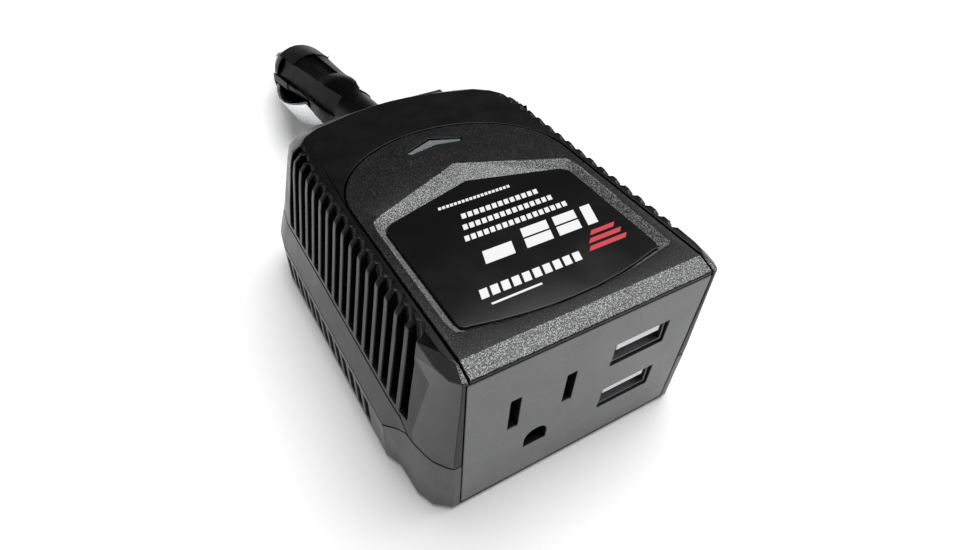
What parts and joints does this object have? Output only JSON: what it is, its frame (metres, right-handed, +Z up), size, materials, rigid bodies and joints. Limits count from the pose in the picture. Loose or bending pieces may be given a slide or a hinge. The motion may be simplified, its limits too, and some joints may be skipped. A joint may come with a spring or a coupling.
{
  "type": "power inverter",
  "caption": "Handheld vehicle power inverter: vented black housing with a mains outlet and stacked USB ports in its front, and a swivelling accessory-socket plug behind.",
  "frame": {"origin": "on the surface it stands on, under the middle of its bounding box", "axes": "+Z up, +Y from the outlet face towards the plug, +X to the right when facing the outlet"},
  "size_m": [0.0724, 0.2008, 0.0463],
  "materials": {
    "shell_black": "fine-textured black ABS",
    "panel_black": "black ABS with a fine metallic sparkle",
    "face_grey": "fine-textured dark grey ABS",
    "rail_black": "smooth satin black plastic",
    "label_gloss": "glossy black label",
    "lens_clear": "clear greyish moulded lens",
    "led_resin": "tinted epoxy",
    "insulator_black": "plain black moulding",
    "brass_contact": "formed brass strip",
    "steel_bright": "nickel-plated steel",
    "usb_white": "white moulded insulator",
    "board_green": "solder-masked glass-epoxy board",
    "ferrite_grey": "sintered ferrite",
    "winding_tape": "polyester tape over windings",
    "copper_wire": "enamelled copper wire",
    "capacitor_sleeve": "shrink sleeve",
    "aluminium_fins": "extruded aluminium",
    "lead_red": "PVC insulation",
    "plug_black": "satin black thermoset moulding",
    "zinc_contact": "bright nickel plate",
    "fuse_glass": "glass tube with plated caps"
  },
  "bodies": {
    "housing": {"upper_shell": "shell_black", "lower_shell": "shell_black", "roof_panel": "panel_black", "label_plate": "label_gloss", "indicator_lens": "lens_clear", "indicator_led": "led_resin", "side_rail_left": "rail_black", "side_rail_right": "rail_black", "outlet_face": "face_grey", "outlet_block": "insulator_black", "neutral_contact": "brass_contact", "live_contact": "brass_contact", "earth_contact": "brass_contact", "usb_board": "board_green", "main_board": "board_green", "transformer_core": "ferrite_grey", "transformer_winding": "winding_tape", "choke": "copper_wire", "heat_sink": "aluminium_fins", "bulk_capacitor": "capacitor_sleeve", "input_capacitor": "capacitor_sleeve", "filter_capacitor": "capacitor_sleeve", "supply_lead_positive": "lead_red", "supply_lead_negative": "insulator_black", "switch_bezel": "insulator_black", "pivot_pin": "steel_bright", "usb_socket_upper": "steel_bright", "usb_tongue_upper": "usb_white", "usb_socket_lower": "steel_bright", "usb_tongue_lower": "usb_white", "transistor_1": "insulator_black", "transistor_2": "insulator_black", "transistor_3": "insulator_black", "transistor_4": "insulator_black", "case_screw_1": "steel_bright", "case_screw_2": "steel_bright", "case_screw_3": "steel_bright", "case_screw_4": "steel_bright", "board_screw_1": "steel_bright", "board_screw_2": "steel_bright", "board_screw_3": "steel_bright", "board_screw_4": "steel_bright"},
    "plug": {"plug_housing": "plug_black", "fuse_spring": "steel_bright"},
    "nose_cap": {"nose_cap": "plug_black"},
    "tip": {"tip_contact": "zinc_contact", "plug_fuse": "fuse_glass"},
    "leaf_left": {"earth_leaf_left": "zinc_contact"},
    "leaf_right": {"earth_leaf_right": "zinc_contact"},
    "rocker": {"switch_rocker": "insulator_black"}
  },
  "joints": [
    {"name": "plug_pivot", "type": "hinge", "parent": "housing", "child": "plug", "pos_m": [0, -0.01037, 0.0309], "axis": [1, 0, 0], "range_deg": [-77.5, 12.5]},
    {"name": "nose_cap_off", "type": "slide", "parent": "plug", "child": "nose_cap", "axis": [0, 0.9763, -0.2164], "range_m": [0, 0.016]},
    {"name": "tip_press", "type": "slide", "parent": "plug", "child": "tip", "axis": [0, -0.9763, 0.2164], "range_m": [0, 0.003], "stiffness_N_per_m": 1200, "springref_m": -0.002, "deforming": ["fuse_spring"]},
    {"name": "leaf_left_press", "type": "slide", "parent": "plug", "child": "leaf_left", "axis": [0.8829, 0.1016, 0.4583], "range_m": [0, 0.0013], "stiffness_N_per_m": 2000, "springref_m": -0.0008},
    {"name": "leaf_right_press", "type": "slide", "parent": "plug", "child": "leaf_right", "axis": [-0.8829, 0.1016, 0.4583], "range_m": [0, 0.0013], "stiffness_N_per_m": 2000, "springref_m": -0.0008},
    {"name": "switch_rock", "type": "hinge", "parent": "housing", "child": "rocker", "pos_m": [0.0142, -0.00337, 0.0304], "axis": [1, 0, 0], "range_deg": [-16, 0]}
  ]
}
